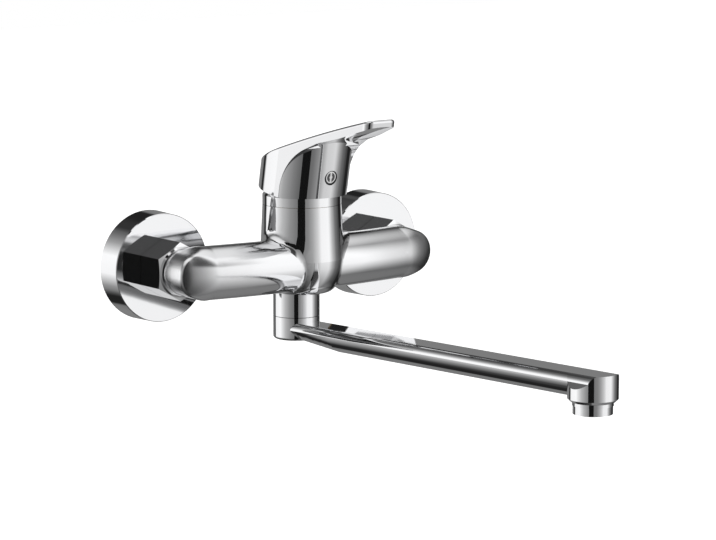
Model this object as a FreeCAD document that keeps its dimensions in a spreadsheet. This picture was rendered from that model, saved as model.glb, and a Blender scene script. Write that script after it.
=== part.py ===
import FreeCAD, Part
import math
import os
import Sketcher
from FreeCAD import Placement, Rotation, Vector

# A wall-mounted single-lever kitchen mixer with a long swivelling spout.
#
# Frame: origin on the finished wall, midway between the two water inlets and
# level with them. +X is to the right seen from the front, -Y comes out of the
# wall towards the user, +Z is up. All sizes are in millimetres.
#
# A "turned" piece is described by its outline as (radius, height) pairs. For a
# piece on an inlet the height runs out of the wall, so it is the distance from
# the wall plane. For a piece on the tower or the spout the height is plain Z.

SIZES = {
    # where the axes stand
    "inlet_half_spacing": 75.0,
    "tower_axis_depth": 46.25,
    "spout_axis_depth": 40.66,
    # wall flange: a thin cup with a threaded boss
    "flange_back_radius": 31.2,
    "flange_front_radius": 30.8,
    "flange_depth": 15.9,
    "flange_edge": 0.4,
    "flange_skin": 1.6,
    "flange_boss_radius": 16.0,
    "flange_boss_back": 7.0,
    # eccentric wall union: a half-inch wall thread and a three-quarter-inch collar
    "wall_thread_radius": 10.48,
    "wall_thread_length": 20.0,
    "wall_thread_back": 21.0,
    "wall_bore_radius": 7.0,
    "union_offset": 12.0,
    "union_shoulder_radius": 11.6,
    "union_shoulder_front": 6.0,
    "union_collar_radius": 13.2,
    "union_collar_back": -1.0,
    "union_collar_front": 27.0,
    "union_bore_radius": 8.5,
    "union_web": 2.0,
    "thread_play": 0.05,
    # hexagon union nut
    "nut_across_flats": 29.0,
    "nut_back": 16.1,
    "nut_front": 36.0,
    "nut_chamfer": 3.2,
    "nut_lip_radius": 14.3,
    "nut_lip_edge": 0.9,
    "nut_lip_bore": 10.1,
    "nut_lip_depth": 3.9,
    # washer and strainer between union and inlet nipple
    "washer_front": 29.0,
    "washer_radius": 12.0,
    "washer_bore": 8.6,
    "strainer_rim": 0.5,
    "strainer_radius": 8.4,
    "strainer_dish": 4.0,
    "strainer_wall": 0.45,
    "strainer_hole": 0.9,
    "strainer_pitch": 2.6,
    # inlet nipple that carries the nut
    "nipple_collar_front": 31.6,
    "nipple_shank_radius": 9.9,
    "nipple_front": 44.0,
    "nipple_bore": 7.2,
    # body casting: necks and arms
    "nut_seat_radius": 17.3,
    "neck_radius": 12.7,
    "neck_back": 36.3,
    "neck_shoulder": 51.2,
    "neck_dome_radius": 16.1,
    "neck_dome_front": 57.4,
    "neck_passage": 7.2,
    "neck_passage_front": 50.0,
    "arm_radius": 15.2,
    "arm_bow_radius": 432.0,
    "arm_middle_depth": 51.5,
    "arm_nose_place": 65.0,
    "arm_nose_length": 22.0,
    "nose_knee": 9.0,
    "nose_knee_place": 17.73,
    "nose_side_radius": 28.45,
    "nose_tip_radius": 11.62,
    "arm_passage_radius": 5.5,
    "arm_passage_depth": 48.5,
    "arm_passage_gap": 4.0,
    # body casting: tower
    "tower_top": 33.9,
    "tower_top_radius": 22.45,
    "tower_belly_radius": 24.0,
    "tower_belly": 3.0,
    "tower_foot_radius": 19.9,
    "tower_foot": -12.0,
    "tower_base_radius": 14.2,
    "tower_base": -16.7,
    "tower_curve": 29.0,
    "tower_corner": 7.0,
    "tower_flare": 6.0,
    "cartridge_seat": 9.0,
    "cartridge_bore": 17.5,
    "nut_bore": 19.05,
    "nut_bore_bottom": 27.0,
    "port_side": 7.5,
    "port_front": 2.5,
    "port_radius": 3.1,
    "outlet_port_back": 7.5,
    "outlet_port_radius": 3.7,
    "outlet_port_bottom": -12.0,
    # body casting: collar that holds the spout stem
    "collar_radius": 13.35,
    "collar_bottom": -30.75,
    "stem_bore": 9.6,
    "stem_bore_top": -11.0,
    "retainer_height": -25.5,
    "retainer_radius": 2.5,
    "retainer_tip": 1.4,
    "retainer_back": 0.8,
    # cap ring and its dome under the handle
    "ring_bottom": 34.1,
    "ring_top": 39.4,
    "ring_bore": 19.6,
    "dome_shoulder": 42.6,
    "dome_shoulder_radius": 20.4,
    "dome_top": 44.6,
    "dome_mouth": 15.9,
    "dome_skin": 1.1,
    # clamp nut
    "clamp_bottom": 29.1,
    "clamp_thread_radius": 19.0,
    "clamp_shoulder": 35.2,
    "clamp_top": 42.0,
    "clamp_bore": 15.0,
    "clamp_across_flats": 36.0,
    # cartridge
    "housing_radius": 17.4,
    "housing_neck_radius": 14.9,
    "housing_shoulder": 29.0,
    "housing_top": 42.4,
    "housing_skirt_bore": 13.4,
    "base_top": 14.5,
    "base_recess": 12.0,
    "seal_wire": 0.9,
    "seal_squash": 0.06,
    "fixed_disc_radius": 12.4,
    "fixed_disc_top": 16.0,
    "disc_film": 0.02,
    "moving_disc_radius": 10.4,
    "moving_disc_top": 19.4,
    "disc_rest_back": 1.95,
    "mixing_pocket_depth": 2.0,
    "carrier_plate_top": 21.9,
    "carrier_top": 32.0,
    "carrier_width": 12.0,
    "carrier_length": 10.0,
    "carrier_socket_bottom": 25.4,
    "guide_bottom": 22.2,
    "guide_top": 42.2,
    "guide_radius": 13.3,
    "guide_slot_width": 8.2,
    "guide_slot_length": 14.0,
    "guide_channel_width": 12.2,
    "guide_channel_top": 33.0,
    # lever spindle and its pivot
    "pivot_height": 38.0,
    "pivot_radius": 1.5,
    "pivot_length": 22.0,
    "pivot_play": 0.04,
    "ball_drop": 9.0,
    "ball_radius": 3.0,
    "ball_play": 0.12,
    "spindle_neck_radius": 2.4,
    "spindle_block_drop": 4.5,
    "spindle_square": 8.0,
    "spindle_half": 4.0,
    "spindle_play": 0.02,
    # handle, measured in its own leaning frame from the pivot
    "lever_lean": 11.0,
    "barrel_radius": 25.15,
    "slab_margin": 2.0,
    "barrel_foot": -8.0,
    "barrel_bore": 22.8,
    "roof_skin": 2.6,
    "lever_back": 26.4,
    "lever_back_top": 12.4,
    "lever_tip": 65.4,
    "lever_tip_top": 64.0,
    "lever_tip_under": 57.4,
    "lever_crown": 690.0,
    "lever_edge": 1.4,
    "lever_under_middle": 31.8,
    "lever_under_height": 41.8,
    "hood_corner": 23.7,
    "hood_corner_height": 36.2,
    "hood_front": 9.3,
    "hood_front_height": 10.8,
    "hood_curve": 34.0,
    "flank_half_width": 24.4,
    "flank_start": 6.1,
    "tip_half_width": 10.2,
    "tip_corner": 4.5,
    "scoop_crest_back": 38.2,
    "scoop_crest_front": 59.6,
    "scoop_radius": 90.0,
    "scoop_lead": 1.0,
    "lip_height": 39.65,
    "relief_height": 3.0,
    "boss_radius": 7.6,
    "boss_bottom": 9.6,
    "square_top": 22.0,
    "square_bottom": 5.0,
    "grub_height": 18.3,
    "grub_radius": 2.5,
    "grub_length": 8.0,
    "grub_tunnel_radius": 4.9,
    "button_radius": 4.2,
    "button_face": 24.85,
    "button_depth": 2.3,
    "button_edge": 0.9,
    "button_play": 0.05,
    # spout
    "hub_top": -31.05,
    "hub_bottom": -44.2,
    "hub_edge": 1.6,
    "head_depth": 298.8,
    "head_radius": 13.2,
    "head_top": -22.0,
    "roof_reach": 14.0,
    "roof_drop": 7.6,
    "roof_depth": 30.0,
    "head_bottom": -40.2,
    "head_edge": 1.6,
    "bar_slope": 1.91,
    "bar_top_at_hub": -34.4,
    "bar_flat_half_width": 7.3,
    "bar_half_width": 10.5,
    "bar_shoulder": 3.9,
    "bar_shoulder_radius": 4.6,
    "bar_heel_length": 45.0,
    "bar_heel_thickness": 9.6,
    "bar_thickness": 13.4,
    "bar_wall": 1.9,
    # spout stem and its rings
    "stem_socket_bottom": -39.0,
    "stem_foot_radius": 8.6,
    "stem_radius": 9.2,
    "stem_top": -12.4,
    "stem_passage": 5.8,
    "stem_shoulder": -31.05,
    "stem_groove_radius": 8.0,
    "ring_play": 0.05,
    "oring_wire": 0.95,
    "ring_corner": 0.45,
    "oring_groove_reach": 1.1,
    "retainer_groove_reach": 1.6,
    "oring_high": -18.4,
    "oring_low": -21.9,
    "slide_ring_half": 1.3,
    "slide_ring_high": -14.4,
    "slide_ring_low": -29.6,
    # aerator in the outlet head
    "head_thread_radius": 11.0,
    "head_thread_top": -33.0,
    "head_cavity_radius": 9.4,
    "head_cavity_top": -29.4,
    "gasket_bottom": -34.5,
    "gasket_bore": 8.2,
    "aerator_thread_radius": 10.95,
    "aerator_skirt_radius": 10.7,
    "aerator_skirt_top": -40.4,
    "aerator_step": -42.2,
    "aerator_step_radius": 10.35,
    "aerator_bottom": -46.5,
    "aerator_bore": 9.2,
    "aerator_lip": -45.4,
    "aerator_lip_radius": 8.7,
    "screen_top": -34.7,
    "screen_bottom": -35.9,
    "regulator_bottom": -41.4,
    "regulator_core": 6.4,
    "grid_hole": 0.85,
    "grid_pitch": 2.35,
}

doc = FreeCAD.newDocument("wall_mixer")
NODES = []


def fill_sheet():
    """Puts every driving size in the spreadsheet under its own alias."""
    sheet = doc.addObject("Spreadsheet::Sheet", "sizes")
    for row, (alias, size) in enumerate(SIZES.items(), start=1):
        sheet.set("A%d" % row, alias)
        sheet.set("B%d" % row, str(size))
        sheet.setAlias("B%d" % row, alias)
    doc.recompute()


def words(text):
    """Splits a sum such as "ring_top - flange_skin" into signs and terms."""
    return str(text).replace("+", " + ").replace("-", " - ").split()


def number(text):
    """Value of a sum of sizes, read from the same table as the sheet."""
    total = 0.0
    sign = 1.0
    for word in words(text):
        if word == "+":
            continue
        if word == "-":
            sign = -1.0
            continue
        total += sign * (SIZES[word] if word in SIZES else float(word))
        sign = 1.0
    return total


def formula(text):
    """The same sum written for the sheet, with each alias qualified."""
    terms = ["sizes." + word if word in SIZES else word for word in words(text)]
    if terms[0] == "-":
        terms.insert(0, "0")
    return " ".join(terms)


def bind(feature, path, text):
    """Binds one property of a feature to a sum of sizes."""
    feature.setExpression(path, formula(text))


TURNS = {
    "up": Rotation(),
    "forward": Rotation(Vector(1, 0, 0), 90),
    "back": Rotation(Vector(1, 0, 0), -90),
    "right": Rotation(Vector(0, 1, 0), 90),
    "left": Rotation(Vector(0, 1, 0), -90),
}


def place(feature, base, direction="up"):
    """Stands a feature at a bound point with its own Z along a direction."""
    feature.Placement = Placement(Vector(*[number(text) for text in base]), TURNS[direction])
    for axis, text in zip("xyz", base):
        bind(feature, "Placement.Base." + axis, text)


def lean(feature, across="0", up="0", direction="up"):
    """Stands a feature in the lever's frame, which leans forward about the pivot.

    Across and up are measured from the pivot, along and square to the lean.
    """
    turn = {"up": "0", "forward": "90"}[direction]
    angle = "sizes.lever_lean"
    feature.Placement = Placement(Vector(), Rotation(Vector(1, 0, 0), number(turn + " + lever_lean")))
    bind(feature, "Placement.Rotation.Angle", turn + " + lever_lean")
    feature.setExpression("Placement.Base.y", "-sizes.tower_axis_depth + (%s) * cos(%s) - (%s) * sin(%s)"
                          % (formula(across), angle, formula(up), angle))
    feature.setExpression("Placement.Base.z", "sizes.pivot_height + (%s) * sin(%s) + (%s) * cos(%s)"
                          % (formula(across), angle, formula(up), angle))


def node(feature, label):
    """Marks a feature as a finished sub-part of the mixer."""
    feature.Label = label
    NODES.append(feature)
    return feature


# ---- sketches ---------------------------------------------------------------

def add_outline(sketch, outline):
    """Draws a closed outline and binds each of its points to the sheet.

    An entry is (x, y) for a straight run to that point, or (x, y, radius, side)
    for an arc that arrives there.
    """
    points = [Vector(number(entry[0]), number(entry[1]), 0) for entry in outline]
    ends = []
    for index, entry in enumerate(outline):
        start = points[index - 1]
        end = points[index]
        if len(entry) == 2:
            edge = sketch.addGeometry(Part.LineSegment(start, end))
            ends.append((edge, 1, 2))
            continue
        radius, side = number(entry[2]), entry[3]
        normal = Vector(start.y - end.y, end.x - start.x, 0).normalize()
        rise = radius - math.sqrt(radius ** 2 - (end.distanceToPoint(start) / 2) ** 2)
        through = (start + end) * 0.5 + normal * (side * rise)
        edge = sketch.addGeometry(Part.Arc(start, through, end))
        head, tail = (2, 1) if side > 0 else (1, 2)
        ends.append((edge, head, tail))
        bound = sketch.addConstraint(Sketcher.Constraint("Radius", edge, radius))
        bind(sketch, "Constraints[%d]" % bound, entry[2])
    for index, entry in enumerate(outline):
        edge, head, tail = ends[index]
        following = ends[(index + 1) % len(ends)]
        sketch.addConstraint(Sketcher.Constraint("Coincident", edge, tail, following[0], following[1]))
        for kind, text in (("DistanceX", entry[0]), ("DistanceY", entry[1])):
            bound = sketch.addConstraint(Sketcher.Constraint(kind, -1, 1, edge, tail, number(text)))
            if words(text)[-1] in SIZES:
                bind(sketch, "Constraints[%d]" % bound, text)


def drawn(body, label, outline, plane):
    """A bound sketch on one of the body's origin planes."""
    sketch = body.newObject("Sketcher::SketchObject", label)
    origin_plane = [item for item in body.Origin.OriginFeatures if item.Role == plane][0]
    sketch.AttachmentSupport = [(origin_plane, "")]
    sketch.MapMode = "FlatFace"
    add_outline(sketch, outline)
    return sketch


def body_sketch(label, outline, plane):
    """A part-design body holding one bound sketch on an origin plane."""
    body = doc.addObject("PartDesign::Body", label)
    return body, drawn(body, label + "_outline", outline, plane)


def turned(label, outline, base, direction="up"):
    """A body of revolution about its own Z from (radius, height) pairs."""
    body, sketch = body_sketch(label, outline, "XZ_Plane")
    turn = body.newObject("PartDesign::Revolution", label + "_turn")
    turn.Profile = sketch
    turn.ReferenceAxis = (sketch, ["V_Axis"])
    turn.Angle = 360
    place(body, base, direction)
    return body


def padded(label, outline, plane, length, base, middle=False):
    """A straight pad of an outline drawn on an origin plane."""
    body, sketch = body_sketch(label, outline, plane)
    pad = body.newObject("PartDesign::Pad", label + "_pad")
    pad.Profile = sketch
    pad.Midplane = middle
    bind(pad, "Length", length)
    place(body, base)
    return body


def lofted(label, near, far, plane, length, base):
    """A straight-sided loft between two outlines of the same kind, one length apart."""
    body, sketch = body_sketch(label, near, plane)
    end = drawn(body, label + "_end", far, plane)
    bind(end, ".AttachmentOffset.Base.z", length)
    loft = body.newObject("PartDesign::AdditiveLoft", label + "_loft")
    loft.Profile = sketch
    loft.Sections = [end]
    loft.Ruled = True
    place(body, base)
    return body


# ---- solids and booleans ----------------------------------------------------

def rod(label, radius, length, base, direction="up"):
    """A plain cylinder with its bound radius and length."""
    solid = doc.addObject("Part::Cylinder", label)
    bind(solid, "Radius", radius)
    bind(solid, "Height", length)
    place(solid, base, direction)
    return solid


def ball(label, radius, base):
    """A plain sphere."""
    solid = doc.addObject("Part::Sphere", label)
    bind(solid, "Radius", radius)
    place(solid, base)
    return solid


def seal_ring(label, inside, outside, low, high, base):
    """A rubber ring of near-square section with its corners taken off."""
    cut = "ring_corner"
    outline = [
        (inside + " + " + cut, low),
        (outside + " - " + cut, low),
        (outside, low + " + " + cut),
        (outside, high + " - " + cut),
        (outside + " - " + cut, high),
        (inside + " + " + cut, high),
        (inside, high + " - " + cut),
        (inside, low + " + " + cut),
    ]
    return turned(label, outline, base)


def hexagon(label, across_flats, length, base, direction, spin):
    """A hexagon bar; its circumradius follows from the width over its flats."""
    solid = doc.addObject("Part::Prism", label)
    solid.Polygon = 6
    solid.setExpression("Circumradius", "(%s) / sqrt(3)" % formula(across_flats))
    bind(solid, "Height", length)
    place(solid, base, direction)
    solid.Placement = solid.Placement.multiply(Placement(Vector(), Rotation(Vector(0, 0, 1), spin)))
    return solid


def joined(label, pieces):
    """All the pieces fused into one solid."""
    result = doc.addObject("Part::MultiFuse", label)
    result.Shapes = pieces
    result.Refine = True
    return result


def gathered(label, pieces):
    """Separate solids kept together as one group."""
    result = doc.addObject("Part::Compound", label)
    result.Links = pieces
    return result


def shared(label, pieces):
    """The space that all the pieces have in common."""
    result = doc.addObject("Part::MultiCommon", label)
    result.Shapes = pieces
    result.Refine = True
    return result


def less(label, solid, tools):
    """A solid with the tools cut out of it."""
    result = doc.addObject("Part::Cut", label)
    result.Base = solid
    result.Tool = tools[0] if len(tools) == 1 else gathered(label + "_tools", tools)
    result.Refine = True
    return result


def rounded(label, solid, radius, wanted):
    """Rounds the edges that the test picks."""
    doc.recompute()
    result = doc.addObject("Part::Fillet", label)
    result.Base = solid
    size = number(radius)
    edges = enumerate(solid.Shape.Edges, start=1)
    result.Edges = [(index, size, size) for index, edge in edges if wanted(edge)]
    return result


def on_tower(height):
    """A point on the tower axis."""
    return ("0", "-tower_axis_depth", height)


def on_spout(height):
    """A point on the spout's swivel axis."""
    return ("0", "-spout_axis_depth", height)


def on_head(height):
    """A point on the axis of the outlet head."""
    return ("0", "-head_depth", height)


# ---- inlets -----------------------------------------------------------------

def wall_flange(side, x):
    """Thin cup that covers the wall opening, screwed on the union collar."""
    bore = "union_collar_radius + thread_play"
    outline = [
        ("flange_back_radius", "0"),
        ("flange_front_radius", "flange_depth - flange_edge"),
        ("flange_front_radius - flange_edge", "flange_depth"),
        (bore, "flange_depth"),
        (bore, "flange_boss_back"),
        ("flange_boss_radius", "flange_boss_back"),
        ("flange_boss_radius", "flange_depth - flange_skin"),
        ("flange_front_radius - flange_skin", "flange_depth - flange_skin"),
        ("flange_back_radius - flange_skin", "0"),
    ]
    node(turned("wall_flange_" + side, outline, (x, "0", "0"), "forward"), "wall_flange_" + side)


def eccentric_union(side, x):
    """Wall union: its wall thread sits below the collar, so turning it sets the spacing."""
    name = "s_union_" + side
    low = "-union_offset"
    thread = rod(name + "_thread", "wall_thread_radius", "wall_thread_length",
                 (x, "wall_thread_back", low), "forward")
    shoulder = rod(name + "_shoulder", "union_shoulder_radius", "union_shoulder_front - union_collar_back",
                   (x, "-union_collar_back", low), "forward")
    collar = rod(name + "_collar", "union_collar_radius", "union_collar_front - union_collar_back",
                 (x, "-union_collar_back", "0"), "forward")
    wall_bore = rod(name + "_wall_bore", "wall_bore_radius",
                    "wall_thread_back + union_shoulder_front - union_web",
                    (x, "wall_thread_back", low), "forward")
    room_bore = rod(name + "_room_bore", "union_bore_radius",
                    "union_collar_front - union_collar_back - union_web",
                    (x, "-union_collar_back - union_web", "0"), "forward")
    outer = joined(name + "_outer", [thread, shoulder, collar])
    node(less(name, outer, [wall_bore, room_bore]), name)


def union_nut(side, x):
    """Hexagon nut, bored from the wall side and closed by a lip round the nipple."""
    name = "union_nut_" + side
    bar = hexagon(name + "_bar", "nut_across_flats", "nut_front - nut_back",
                  (x, "-nut_back", "0"), "forward", 30)
    envelope = turned(name + "_envelope", [
        ("nut_across_flats", "nut_back"),
        ("nut_across_flats", "nut_front - nut_lip_edge - nut_chamfer - nut_chamfer"),
        ("nut_lip_radius", "nut_front - nut_lip_edge"),
        ("nut_lip_radius - nut_lip_edge", "nut_front"),
        ("0", "nut_front"),
        ("0", "nut_back"),
    ], (x, "0", "0"), "forward")
    bore = turned(name + "_bore", [
        ("union_collar_radius + thread_play", "nut_back - flange_edge"),
        ("union_collar_radius + thread_play", "nut_front - nut_lip_depth"),
        ("nut_lip_bore", "nut_front - nut_lip_depth"),
        ("nut_lip_bore", "nut_front + flange_edge"),
        ("0", "nut_front + flange_edge"),
        ("0", "nut_back - flange_edge"),
    ], (x, "0", "0"), "forward")
    node(less(name, shared(name + "_hexagon", [bar, envelope]), [bore]), name)


def inlet_washer(side, x):
    """Flat fibre washer squeezed between union and nipple."""
    outline = [
        ("washer_bore", "union_collar_front"),
        ("washer_radius", "union_collar_front"),
        ("washer_radius", "washer_front"),
        ("washer_bore", "washer_front"),
    ]
    node(turned("union_washer_" + side, outline, (x, "0", "0"), "forward"), "union_washer_" + side)


def inlet_strainer(side, x):
    """Dished steel strainer standing in the union's bore."""
    name = "inlet_strainer_" + side
    rim = "washer_front"
    floor = "washer_front - strainer_dish"
    cup = turned(name + "_cup", [
        ("strainer_radius", rim),
        ("strainer_radius - strainer_wall", rim),
        ("strainer_radius - strainer_wall - strainer_rim", floor + " + strainer_wall"),
        ("0", floor + " + strainer_wall"),
        ("0", floor),
        ("strainer_radius - strainer_rim", floor),
    ], (x, "0", "0"), "forward")
    drill = hexagon(name + "_drill", "strainer_hole + strainer_hole", "strainer_dish",
                    ("0", "0", "0"), "up", 0)
    doc.recompute()
    pitch = SIZES["strainer_pitch"]
    holes = ring_pattern(name + "_holes", drill.Shape, ((0, 1), (pitch, 6), (2 * pitch, 12)))
    place(holes, (x, "-washer_front + strainer_dish + strainer_rim", "0"), "forward")
    node(less(name, cup, [holes]), name)


def ring_pattern(label, shape, rings):
    """Copies of a shape on circles given as (radius, count) pairs."""
    copies = []
    for radius, count in rings:
        for index in range(count):
            angle = 2 * math.pi * index / count
            copy = shape.copy()
            copy.translate(Vector(radius * math.cos(angle), radius * math.sin(angle), 0))
            copies.append(copy)
    pattern = doc.addObject("Part::Feature", label)
    pattern.Shape = Part.makeCompound(copies)
    return pattern


def inlet_nipple(side, x):
    """Flanged nipple that holds the nut and seats in the casting's neck."""
    outline = [
        ("nipple_bore", "washer_front"),
        ("washer_radius", "washer_front"),
        ("washer_radius", "nipple_collar_front"),
        ("nipple_shank_radius", "nipple_collar_front"),
        ("nipple_shank_radius", "nipple_front"),
        ("nipple_bore", "nipple_front"),
    ]
    node(turned("inlet_nipple_" + side, outline, (x, "0", "0"), "forward"), "inlet_nipple_" + side)


def build_inlet(side, x):
    """Everything between the wall and one end of the casting."""
    wall_flange(side, x)
    eccentric_union(side, x)
    union_nut(side, x)
    inlet_washer(side, x)
    inlet_strainer(side, x)
    inlet_nipple(side, x)


# ---- body casting -----------------------------------------------------------

def neck(side, x):
    """Neck that comes out of the nut and ends in a shallow dome."""
    outline = [
        ("0", "neck_back"),
        ("neck_radius", "neck_back"),
        ("neck_radius", "neck_shoulder"),
        ("0", "neck_dome_front", "neck_dome_radius", -1),
    ]
    return turned("neck_" + side, outline, (x, "0", "0"), "forward")


def bowed_arms():
    """Both arms as one gently bowed round bar across the wall."""
    bar = doc.addObject("Part::Torus", "arms")
    bind(bar, "Radius1", "arm_bow_radius")
    bind(bar, "Radius2", "arm_radius")
    bar.setExpression("Angle3", "2 * asin(sizes.arm_nose_place / sizes.arm_bow_radius)")
    bar.Placement = Placement(Vector(), Rotation(Vector(0, 0, 1), -90 - nose_angle()))
    bind(bar, "Placement.Base.y", "arm_bow_radius - arm_middle_depth")
    return bar


def nose_angle():
    """Angle, in degrees, by which an arm has swept back where its nose starts."""
    return math.degrees(math.asin(SIZES["arm_nose_place"] / SIZES["arm_bow_radius"]))


def arm_nose(label, sign):
    """Blunt egg-shaped end of an arm, turned about the arm's own line."""
    outline = [
        ("0", "0"),
        ("arm_radius", "0"),
        ("nose_knee", "nose_knee_place", "nose_side_radius", -1),
        ("0", "arm_nose_length", "nose_tip_radius", -1),
    ]
    nose = turned(label, outline, ("0", "0", "0"), "right" if sign > 0 else "left")
    sweep = Rotation(Vector(0, 0, 1), sign * nose_angle())
    nose.Placement = Placement(Vector(), sweep.multiply(nose.Placement.Rotation))
    nose.setExpression("Placement.Base.x", "%d * sizes.arm_nose_place" % sign)
    nose.setExpression("Placement.Base.y", "sizes.arm_bow_radius - sizes.arm_middle_depth"
                       " - sqrt(sizes.arm_bow_radius^2 - sizes.arm_nose_place^2)")
    return nose


def tower_shell():
    """Slightly bellied tower with a rounded foot."""
    outline = [
        ("0", "tower_top"),
        ("tower_top_radius", "tower_top"),
        ("tower_belly_radius", "tower_belly"),
        ("tower_foot_radius", "tower_foot", "tower_curve", 1),
        ("tower_base_radius", "tower_base", "tower_corner", 1),
        ("0", "tower_base"),
    ]
    return turned("tower", outline, on_tower("0"))


def casting_passages():
    """Cartridge bore, water ways and the bores that take nipples and stem."""
    tools = [
        turned("cartridge_space", [
            ("0", "cartridge_seat"),
            ("cartridge_bore", "cartridge_seat"),
            ("cartridge_bore", "nut_bore_bottom"),
            ("nut_bore", "nut_bore_bottom"),
            ("nut_bore", "tower_top + strainer_rim"),
            ("0", "tower_top + strainer_rim"),
        ], on_tower("0")),
        rod("outlet_way", "outlet_port_radius", "cartridge_seat - outlet_port_bottom + strainer_rim",
            ("0", "-tower_axis_depth + outlet_port_back", "outlet_port_bottom")),
        rod("stem_space", "stem_bore", "stem_bore_top - collar_bottom + strainer_rim",
            on_spout("collar_bottom - strainer_rim")),
        rod("retainer_hole", "retainer_radius", "collar_radius",
            ("0", "-spout_axis_depth + stem_groove_radius", "retainer_height"), "back"),
    ]
    for side, x, turn in (("left", "-", "left"), ("right", "", "right")):
        tools.append(rod("arm_way_" + side, "arm_passage_radius", "inlet_half_spacing - arm_passage_gap",
                         (x + "arm_passage_gap", "-arm_passage_depth", "0"), turn))
        tools.append(rod("port_" + side, "port_radius", "cartridge_seat + strainer_rim",
                         (x + "port_side", "-tower_axis_depth - port_front", "0")))
        tools.append(turned("neck_space_" + side, [
            ("0", "neck_back - strainer_rim"),
            ("nipple_shank_radius + thread_play", "neck_back - strainer_rim"),
            ("nipple_shank_radius + thread_play", "nipple_front"),
            ("neck_passage", "nipple_front"),
            ("neck_passage", "neck_passage_front"),
            ("0", "neck_passage_front"),
        ], (x + "inlet_half_spacing", "0", "0"), "forward"))
    return tools


def body_casting():
    """One brass casting: necks, arms, tower and the collar for the spout."""
    arms = joined("arms_with_noses", [bowed_arms(), arm_nose("nose_left", -1), arm_nose("nose_right", 1)])
    trunk = joined("tower_and_arms", [tower_shell(), arms])
    doc.recompute()

    def meets_arm(edge):
        faces = trunk.Shape.ancestorsOfType(edge, Part.Face)
        on_arm = [face for face in faces if is_arm_face(face)]
        return len(faces) == 2 and len(on_arm) == 1 and edge.BoundBox.XLength < number("arm_nose_place") / 2

    flared = rounded("flared_trunk", trunk, "tower_flare", meets_arm)
    collar = rod("stem_collar", "collar_radius", "tower_foot - collar_bottom", on_spout("collar_bottom"))
    seated = less("arms_spot_faced", flared, nut_seats())
    outer = joined("casting_outer", [
        seated, collar, neck("left", "-inlet_half_spacing"), neck("right", "inlet_half_spacing"),
    ])
    node(less("body_casting", outer, casting_passages()), "body_casting")


def nut_seats():
    """Flats milled into the backs of the arms so that the union nuts can turn."""
    depth = "neck_back - nut_back"
    return [rod("nut_seat_" + side, "nut_seat_radius", depth, (x, "-nut_back", "0"), "forward")
            for side, x in (("left", "-inlet_half_spacing"), ("right", "inlet_half_spacing"))]


def is_arm_face(face):
    """True for the arms' own ring-shaped surface."""
    surface = face.Surface
    return isinstance(surface, Part.Toroid) and surface.MajorRadius > number("arm_bow_radius") / 2


# ---- cap ring, clamp nut and cartridge ---------------------------------------

def cap_ring():
    """Bright ring on the tower whose dome hides the clamp nut."""
    outline = [
        ("ring_bore", "ring_bottom"),
        ("tower_top_radius", "ring_bottom"),
        ("tower_top_radius", "ring_top"),
        ("dome_shoulder_radius", "dome_shoulder"),
        ("dome_mouth", "dome_top"),
        ("dome_mouth", "dome_top - dome_skin"),
        ("dome_shoulder_radius - dome_skin", "dome_shoulder - dome_skin"),
        ("ring_bore", "ring_top - dome_skin"),
    ]
    node(turned("cap_ring", outline, on_tower("0")), "cap_ring")


def clamp_nut():
    """Threaded nut with a hexagon head that presses the cartridge down."""
    thread = rod("clamp_thread", "clamp_thread_radius", "clamp_shoulder - clamp_bottom",
                 on_tower("clamp_bottom"))
    head = hexagon("clamp_head", "clamp_across_flats", "clamp_top - clamp_shoulder",
                   on_tower("clamp_shoulder"), "up", 0)
    limit = turned("clamp_limit", [
        ("0", "clamp_shoulder"),
        ("clamp_thread_radius", "clamp_shoulder"),
        ("clamp_thread_radius", "clamp_top - dome_skin - dome_skin"),
        ("clamp_thread_radius - dome_skin - dome_skin", "clamp_top"),
        ("0", "clamp_top"),
    ], on_tower("0"))
    head = shared("clamp_chamfered", [head, limit])
    bore = rod("clamp_hole", "clamp_bore", "clamp_top", on_tower("clamp_bottom - dome_skin"))
    node(less("cartridge_clamp_nut", joined("clamp_outer", [thread, head]), [bore]), "cartridge_clamp_nut")


def cartridge_base():
    """Plastic foot with two inlets, one outlet and a recess for the fixed disc."""
    foot = rod("base_foot", "housing_radius", "base_top - cartridge_seat", on_tower("cartridge_seat"))
    recess = rod("base_recess_cut", "fixed_disc_radius + thread_play", "base_top",
                 on_tower("base_recess"))
    tools = [recess]
    for index, (x, y, radius) in enumerate(port_places()):
        centre = (x, y, "cartridge_seat - seal_wire")
        tools.append(rod("base_port_%d" % index, radius, "base_top", centre))
        groove = rod("base_groove_%d" % index, radius + " + seal_wire + seal_wire",
                     "seal_wire + seal_wire - seal_squash", (x, y, "cartridge_seat"))
        tools.append(groove)
    node(less("cartridge_base", foot, tools), "cartridge_base")


def port_places():
    """Places and radii of the cold, hot and mixed-water ports."""
    front = "-tower_axis_depth - port_front"
    back = "-tower_axis_depth + outlet_port_back"
    return (
        ("-port_side", front, "port_radius"),
        ("port_side", front, "port_radius"),
        ("0", back, "outlet_port_radius"),
    )


def port_seals():
    """Three rubber rings that seal the cartridge foot on its seat."""
    rings = []
    top = "cartridge_seat + seal_wire + seal_wire - seal_squash - seal_squash"
    for index, (x, y, radius) in enumerate(port_places()):
        rings.append(seal_ring("port_seal_%d" % index, radius + " + seal_squash",
                               radius + " + seal_wire + seal_wire - seal_squash",
                               "cartridge_seat", top, (x, y, "0")))
    node(gathered("cartridge_port_seals", rings), "cartridge_port_seals")


def fixed_disc():
    """Ceramic disc that stands still, pierced by the three ports."""
    plate = rod("fixed_disc_plate", "fixed_disc_radius", "fixed_disc_top - base_recess",
                on_tower("base_recess"))
    tools = []
    for index, (x, y, radius) in enumerate(port_places()):
        tools.append(rod("fixed_port_%d" % index, radius, "base_top", (x, y, "base_recess - seal_wire")))
    node(less("fixed_ceramic_disc", plate, tools), "fixed_ceramic_disc")


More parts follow.
